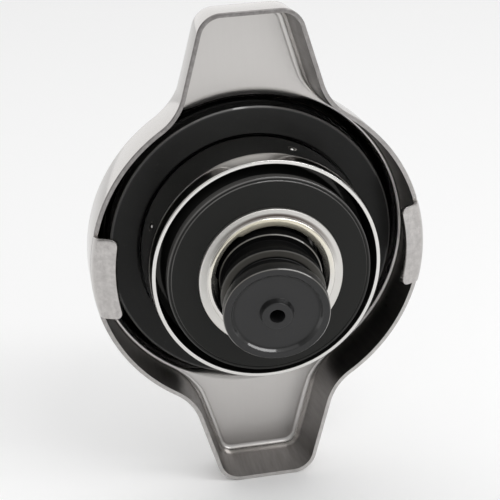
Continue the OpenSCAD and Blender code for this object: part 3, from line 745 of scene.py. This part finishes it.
def cam_tab(s):
    """One folded tab at +X, with rounded inner corners and softened sheared edges."""
    inset, root, straight = 0.02 * MM, 0.5 * MM, 0.3 * MM
    fold_steps, corner_steps, length_steps = 8, 5, 24
    sharp_angle = 1.0
    half = s.tab_length / 2
    face = sqrt(s.rim_radius ** 2 - half ** 2) - inset
    fold_angle = pi / 2 - s.tab_rise
    run = (s.tab_reach - s.tab_fold * (1 - cos(fold_angle))) / cos(s.tab_rise)
    bm = bmesh.new()
    vert = bm.verts.new((face, -half, s.rim_height - s.notch_depth - root))
    for z in (s.rim_height - straight, s.rim_height):
        vert = drawn_to(bm, vert, (face, -half, z))
    vert = spun(bm, vert, (face - s.tab_fold, -half, s.rim_height), fold_angle, fold_steps, axis=(0, -1, 0))
    end = Vector(vert.co)
    way = Vector((-cos(s.tab_rise), 0, sin(s.tab_rise)))
    marks = [0.25, 0.5] + [1 - s.tab_corner / run * (1 - sin(a)) for a in arc(0, 90, corner_steps)]
    for mark in sorted(m for m in marks if m > 0):
        vert = drawn_to(bm, vert, end + way * run * mark)
    edges = bm.edges[:]
    for _ in range(length_steps):
        fresh, edges = extruded(bm, edges)
        bmesh.ops.translate(bm, verts=list(fresh), vec=(0, s.tab_length / length_steps, 0))
    for vert in bm.verts:
        past = (vert.co - end).dot(way) - (run - s.tab_corner)
        if past > 0:
            keep = sqrt(max(0, s.tab_corner ** 2 - past ** 2))
            vert.co.y *= (half - s.tab_corner + keep) / half
        vert.co.x += sqrt((s.rim_radius - inset) ** 2 - vert.co.y ** 2) - face
    bmesh.ops.remove_doubles(bm, verts=bm.verts, dist=MERGE)
    bmesh.ops.recalc_face_normals(bm, faces=bm.faces)
    outward = max(bm.faces, key=lambda f: f.calc_center_median().x)
    if outward.normal.x < 0:
        bmesh.ops.reverse_faces(bm, faces=bm.faces)
    bmesh.ops.solidify(bm, geom=bm.faces[:], thickness=s.sheet - 2 * inset)
    bmesh.ops.recalc_face_normals(bm, faces=bm.faces)
    sharp = [e for e in bm.edges if e.calc_face_angle(0) > sharp_angle]
    bmesh.ops.bevel(bm, geom=sharp, offset=s.edge * 0.8, offset_type="OFFSET", segments=3, profile=0.5,
                    affect="EDGES", material=-1, clamp_overlap=True)
    return bm


def joined(*bms):
    """All the given bmeshes as islands of the first."""
    for other in bms[1:]:
        carrier = bpy.data.meshes.new("carrier")
        other.to_mesh(carrier)
        other.free()
        bms[0].from_mesh(carrier)
        bpy.data.meshes.remove(carrier)
    return bms[0]


class CAP_OT_shell(bpy.types.Operator):
    """Press the two-eared shell with its recess and cam tabs"""
    bl_idname = "cap.shell"
    bl_label = "Pressed shell"

    def execute(self, context):
        s = context.scene.cap_shell_sizes
        near, far = cam_tab(s), cam_tab(s)
        bmesh.ops.rotate(far, verts=far.verts, cent=(0, 0, 0), matrix=Matrix.Rotation(pi, 3, "Z"))
        shell = joined(lofted(shell_stations(s), *shell_rings(s)), near, far)
        stand_for(context, shell, "pressed_shell", "cap_shell", satin_stainless)
        return {"FINISHED"}


class CAP_OT_gasket(bpy.types.Operator):
    """Mould the neck gasket and stamp the diaphragm spring under it"""
    bl_idname = "cap.gasket"
    bl_label = "Gasket and diaphragm"

    def execute(self, context):
        radius, top = high("neck_gasket").x / MM, high("neck_gasket").z / MM
        rim_low = low("neck_gasket").z / MM
        waist = radius - 0.12
        inner, inner_low, foot = 14.92, 3.4, 17.7
        gasket = turned([(STACK_HOLE, 2.05, 0), (6, 2.05, 0), (16.07, 1.7, 0), (foot, 1.7, 0), (foot, rim_low, 0),
                         (radius, rim_low, 0.3), (radius, rim_low + 0.55, 0.1), (waist, rim_low + 0.75, 0.1),
                         (waist, top - 0.75, 0.1), (radius, top - 0.55, 0.1), (radius, top - 0.14, 0),
                         (radius - 0.18, top, 0), (inner, top, 0.08), (inner, inner_low, 0),
                         (STACK_HOLE, inner_low, 0)], steps=192)
        stand_for(context, gasket, "neck_gasket_ring", "neck_gasket", smooth_gasket_rubber)
        stand_for(context, turned(DIAPHRAGM), "diaphragm_disc", "diaphragm_spring", dull_spring_steel)
        return {"FINISHED"}


class CAP_OT_cup(bpy.types.Operator):
    """Draw the bell cup with its stakes, and set the rivet and washer"""
    bl_idname = "cap.cup"
    bl_label = "Bell cup and rivet"

    def stake(self, cup, c, way):
        """Presses one round hollow into the cup's wall."""
        reach, depth = 0.8 * MM, 0.55 * MM
        spot = Vector((c.radius * cos(way), c.radius * sin(way), c.dent_height))
        inward = Vector((-cos(way), -sin(way), 0))
        for vert in cup.verts:
            off = vert.co - spot
            off -= inward * off.dot(inward)
            if off.length < reach and vert.co.dot(inward) < 0 and abs(vert.co.z - spot.z) < reach:
                vert.co += inward * depth * 0.5 * (1 + cos(pi * off.length / reach))

    def execute(self, context):
        sizes = context.scene.cap_cup_sizes
        c = in_mm(sizes)
        base, mouth = low("bell_cup").z / MM, high("bell_cup").z / MM
        inner, drawn = c.radius - c.wall, mouth - c.mouth_band
        heights = [c.dent_height + 0.1 * i for i in range(-9, 10)]
        outside = [(c.radius, z, 0) for z in heights]
        inside = [(inner, z, 0) for z in reversed(heights)]
        lip = [(c.radius, drawn, 0.5), (c.radius - c.mouth_draw, mouth, 0.12), (inner - c.mouth_draw, mouth, 0.12),
               (inner, drawn, 0.5)]
        cup = turned([(STACK_HOLE, base, 0), (c.radius, base, c.base_bend), *outside, *lip, *inside,
                      (inner, base + c.wall, c.base_bend - c.wall), (STACK_HOLE, base + c.wall, 0)],
                     steps=480, segments=6)
        for first in (c.dent_angle, c.dent_angle + c.dent_gap):
            self.stake(cup, sizes, first)
            self.stake(cup, sizes, first + pi)
        stand_for(context, cup, "polished_cup", "bell_cup", polished_cup_steel)
        rivet_low = low("center_rivet").z / MM
        rivet = turned([(0, rivet_low, 0), (3.2, rivet_low, 0.25), (3.2, 0.95, 0.05), (SHANK, 0.95, 0), (SHANK, 4.3, 0),
                        (3.0, 4.3, 0.1), (2.8, 4.6, 0.2), (SHANK, 4.8, 0.3), (0, 4.8, 0)], steps=96)
        stand_for(context, rivet, "shell_rivet", "center_rivet", dull_spring_steel)
        stand_for(context, turned(WASHER, steps=96), "washer_disc", "rivet_washer", dull_spring_steel)
        return {"FINISHED"}


class CAP_OT_pressure_valve(bpy.types.Operator):
    """Wind the spring and turn the plate, the seal, its retainer and the vacuum seat"""
    bl_idname = "cap.pressure_valve"
    bl_label = "Pressure valve"

    def wire_coil(self, radius, wire, bottom, top):
        """A closed-end coil: one close turn, two open ones and one close turn."""
        turn_steps = 48
        bm = bmesh.new()
        start = Matrix.Translation((radius, 0, bottom + wire / 2)) @ Matrix.Rotation(pi / 2, 4, "X")
        made = bmesh.ops.create_circle(bm, cap_ends=False, segments=14, radius=wire / 2, matrix=start)
        ends = [set(made["verts"])]
        geom = bm.verts[:] + bm.edges[:]
        for rise, count in ((wire, 1), (top - bottom - 3 * wire, 2), (wire, 1)):
            steps = turn_steps * count
            made = bmesh.ops.spin(bm, geom=geom, cent=(0, 0, 0), axis=(0, 0, 1), dvec=(0, 0, rise / steps),
                                  angle=TURN * count, steps=steps)
            geom = made["geom_last"]
        ends.append(set(new_verts(geom)))
        for end in ends:
            bmesh.ops.edgeloop_fill(bm, edges=[e for e in bm.edges if all(v in end for v in e.verts)])
        bmesh.ops.recalc_face_normals(bm, faces=bm.faces)
        return bm

    def retainer(self, v):
        """The flanged tube with its rolled, flared and crimped lip."""
        top, tube = high("seal_retainer").z / MM + 0.15, 7.7
        wide, flared, drop = 0.46, 0.92, 0.8
        bead = [(v.lip + wide * cos(a), top - wide * (1 - sin(a)), 0) for a in arc(30, 90, 6)]
        flare = [(v.lip + flared * cos(a), top - drop * (1 - sin(a)), 0) for a in arc(100, 180, 9)]
        bm = turned([(4.5, 11.4, 0.1), (tube, 11.4, 0.9), (tube, 12.2, 0), (8.05, 12.2, 0.1), (8.2, 12.45, 0.1),
                     (8.2, 12.9, 0), (tube, 12.9, 0), (tube, v.flange_low, 0), (v.flange, v.flange_low, 0.06),
                     (v.flange, v.flange_top, 0.16), (8.02, v.flange_top, 0.06), *bead, *flare, (6.7, 15.65, 0),
                     (6.85, 15.3, 0.1), (v.bore, 15.0, 0), (v.bore, 12.0, 0.3), (4.5, 12.0, 0.1)],
                    steps=240, segments=6)
        crimp, crimp_from = 0.045, 15.2 * MM
        half, fade, crest_fade = radians(28), radians(4), 0.3
        for way in (radians(328), radians(80)):
            for vert in bm.verts:
                off = abs((atan2(vert.co.y, vert.co.x) - way + pi) % TURN - pi)
                pushed = held((half - off) / fade) * held((v.lip - vert.co.xy.length / MM) / crest_fade)
                if vert.co.z > crimp_from:
                    vert.co.xy *= 1 + crimp * pushed
        return bm

    def execute(self, context):
        v = context.scene.cap_valve_sizes
        bottom, top = low("pressure_spring").z, high("pressure_spring").z
        coil = stand_for(context, self.wire_coil(v.coil, v.wire, bottom, top), "wound_spring", "pressure_spring",
                         dull_spring_steel, crease=60)
        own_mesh(coil)
        stand_for(context, turned(PLATE), "drawn_plate", "valve_plate", polished_cup_steel)
        stand_for(context, turned(SEAL, steps=192), "pressure_seal_ring", "pressure_seal", ground_seal_rubber)
        stand_for(context, self.retainer(in_mm(v)), "turned_retainer", "seal_retainer", turned_retainer_steel)
        stand_for(context, turned(SEAT, steps=128), "vacuum_seat_ring", "vacuum_seat", ground_seal_rubber)
        return {"FINISHED"}


class CAP_OT_vacuum_valve(bpy.types.Operator):
    """Mould the loose stem and push its clip on"""
    bl_idname = "cap.vacuum_valve"
    bl_label = "Vacuum valve"

    def slope(self, start, end, rounding, support):
        """A slope's ends, with support points near them for crisp shading."""
        between = [Vector(start).lerp(Vector(end), part) for part in (support, 1 - support)]
        return [(*start, rounding[0])] + [(*point, 0) for point in between] + [(*end, rounding[1])]

    def execute(self, context):
        leaned = stem_matrix(context.scene.cap_stem_sizes)
        s = in_mm(context.scene.cap_stem_sizes)
        head_low = s.face - s.head_height
        collar_top = head_low - s.groove_width
        collar_low = collar_top - s.collar
        rim_in, dome, foot_low = s.head - s.rim_width, 5.0, -0.6
        sunk, boss, vent_low = s.face - 0.45, s.face + 0.35, s.face - 3.7
        clip_radius, clip_top, clip_low = 4.6, -6.805, -7.305
        shank, shank_low, clip_hole = 1.5, clip_top - 1, 1.53
        bowl = [(dome * sin(a), -dome * cos(a), 0) for a in arc(17.5, 83, 8)]
        rim = self.slope((rim_in, s.face), (rim_in - 0.36, sunk), (0.06, 0.06), 5 / 18)
        eye = self.slope((s.eye, sunk), (s.eye - 0.3, boss), (0.06, 0.1), 1 / 5)
        stem = turned([(0, shank_low, 0), (shank, shank_low, 0.15), *bowl, (s.foot, foot_low, 0.15),
                       (s.foot, s.foot_top - 0.124, 0), (s.foot - 0.1, s.foot_top, 0), (s.neck, s.foot_top, 0.12),
                       (s.neck, collar_low, 0.12), (s.head, collar_low, 0.15), (s.head, collar_top, 0.15),
                       (s.groove, collar_top, 0.12), (s.groove, head_low, 0.12), (s.head, head_low, 0.15),
                       (s.head, s.face - 0.136, 0), (s.head - 0.11, s.face, 0), *rim, *eye, (s.vent, boss, 0.06),
                       (s.vent, vent_low, 0.1), (0, vent_low, 0)], steps=240)
        bmesh.ops.transform(stem, matrix=leaned, verts=stem.verts)
        stand_for(context, stem, "moulded_stem", "vacuum_stem", moulded_stem_plastic)
        clip = turned([(clip_hole, clip_low, 0), (clip_radius, clip_low, 0.1), (clip_radius, clip_top, 0.1),
                       (clip_hole, clip_top, 0)], steps=96)
        bmesh.ops.transform(clip, matrix=leaned, verts=clip.verts)
        stand_for(context, clip, "push_on_clip", "stem_clip", dull_spring_steel)
        return {"FINISHED"}


class CAP_OT_stage(bpy.types.Operator):
    """Set the pale floor under the lower ear, the soft light and the camera"""
    bl_idname = "cap.stage"
    bl_label = "Stage, light and camera"

    def floor(self, context):
        """A pale sheet square to Y, just under the lower ear, that is clear from behind."""
        half_width, gap = 1.5, 0.02 * MM
        bm = bmesh.new()
        bmesh.ops.create_grid(bm, x_segments=1, y_segments=1, size=half_width,
                              matrix=Matrix.Translation((0, high("cap_shell").y + gap, 0))
                              @ Matrix.Rotation(pi / 2, 4, "X"))
        mesh = bpy.data.meshes.new("pale_floor")
        bm.to_mesh(mesh)
        bm.free()
        f = Finish("pale_floor")
        shader = f.add("BsdfDiffuse", None, {"Color": (*context.scene.cap_colours.floor, 1)})
        clear = f.add("BsdfTransparent")
        behind = f.add("NewGeometry", output="Backfacing")
        sheet = f.add("MixShader", None, {0: behind, 1: shader, 2: clear})
        f.add("OutputMaterial", None, {"Surface": sheet})
        mesh.materials.append(f.owner)
        floor = bpy.data.objects.new("pale_floor", mesh)
        context.scene.collection.objects.link(floor)

    def sky(self, context):
        """A white studio that is darker in front of the cap, and darkest on its +X side."""
        white, grey, dark = ((level, level, level) for level in (1.08, 0.44, 0.16))
        sky = Finish("white_studio", "worlds")
        context.scene.world = sky.owner
        beside, _, ahead = sky.axis_parts(sky.add("TexCoord", output="Object"))
        front = sky.mix((0.5 + 0.9 * beside).held(), grey, dark)
        around = sky.mix((0.5 + 0.9 * ahead).held(), white, front)
        light = sky.add("Background", None, {"Color": around, "Strength": 1.0})
        sky.add("OutputWorld", None, {"Surface": light})

    def lamp(self, context, name, where, along, size, power):
        """A soft lamp aimed at the cap, with its long side along a direction."""
        aim = Vector((0, 0, 0.02))
        data = bpy.data.lights.new(name, "AREA")
        data.shape = "RECTANGLE"
        data.size, data.size_y = size
        data.energy = power
        lamp = bpy.data.objects.new(name, data)
        back = (Vector(where) - aim).normalized()
        up = back.cross(Vector(along)).normalized()
        turn = Matrix((up.cross(back), up, back)).transposed().to_4x4()
        lamp.matrix_world = Matrix.Translation(where) @ turn
        context.scene.collection.objects.link(lamp)

    def camera(self, context):
        data = bpy.data.cameras.new("photo_camera")
        data.sensor_width = SENSOR_WIDTH
        data.lens = FOCAL_PIXELS / PHOTO_PIXELS * SENSOR_WIDTH
        data.clip_start = 0.01
        camera = bpy.data.objects.new("photo_camera", data)
        turn = Matrix((CAMERA_RIGHT, CAMERA_UP, CAMERA_BACK)).transposed().to_4x4()
        where = Vector(CAMERA_TARGET) * MM + Vector(CAMERA_BACK) * CAMERA_DISTANCE * MM
        camera.matrix_world = Matrix.Translation(where) @ turn
        context.scene.collection.objects.link(camera)
        context.scene.camera = camera

    def execute(self, context):
        self.floor(context)
        self.sky(context)
        self.lamp(context, "strip_softbox", where=(-0.348, -0.456, 0.359), along=(0.825, -0.491, 0.181),
                  size=(0.72, 0.08), power=1.2)
        self.lamp(context, "overhead_softbox", where=(0.05, -0.76, 0.58), along=(1, 0, 0), size=(1.5, 1.3), power=3.2)
        self.camera(context)
        context.scene.view_settings.view_transform = "Standard"
        return {"FINISHED"}


class CAP_PT_panel(bpy.types.Panel):
    """All sizes and colours, and a button for each group of pieces"""
    bl_label = "Radiator cap"
    bl_idname = "CAP_PT_panel"
    bl_space_type = "VIEW_3D"
    bl_region_type = "UI"
    bl_category = "Cap"

    def draw(self, context):
        for name, group in GROUPS.items():
            box = self.layout.box()
            for key in group.__annotations__:
                box.prop(getattr(context.scene, name), key)
        for operator in OPERATORS:
            self.layout.operator(operator.bl_idname)


OPERATORS = (CAP_OT_shell, CAP_OT_gasket, CAP_OT_cup, CAP_OT_pressure_valve, CAP_OT_vacuum_valve, CAP_OT_stage)


def register():
    for cls in (*GROUPS.values(), *OPERATORS, CAP_PT_panel):
        bpy.utils.register_class(cls)
    for name, group in GROUPS.items():
        setattr(bpy.types.Scene, name, PointerProperty(type=group))


def unregister():
    for name in GROUPS:
        delattr(bpy.types.Scene, name)
    for cls in reversed((*GROUPS.values(), *OPERATORS, CAP_PT_panel)):
        bpy.utils.unregister_class(cls)


def main():
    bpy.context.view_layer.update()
    register()
    bpy.ops.cap.shell()
    bpy.ops.cap.gasket()
    bpy.ops.cap.cup()
    bpy.ops.cap.pressure_valve()
    bpy.ops.cap.vacuum_valve()
    bpy.ops.cap.stage()


if __name__ == "__main__":
    main()
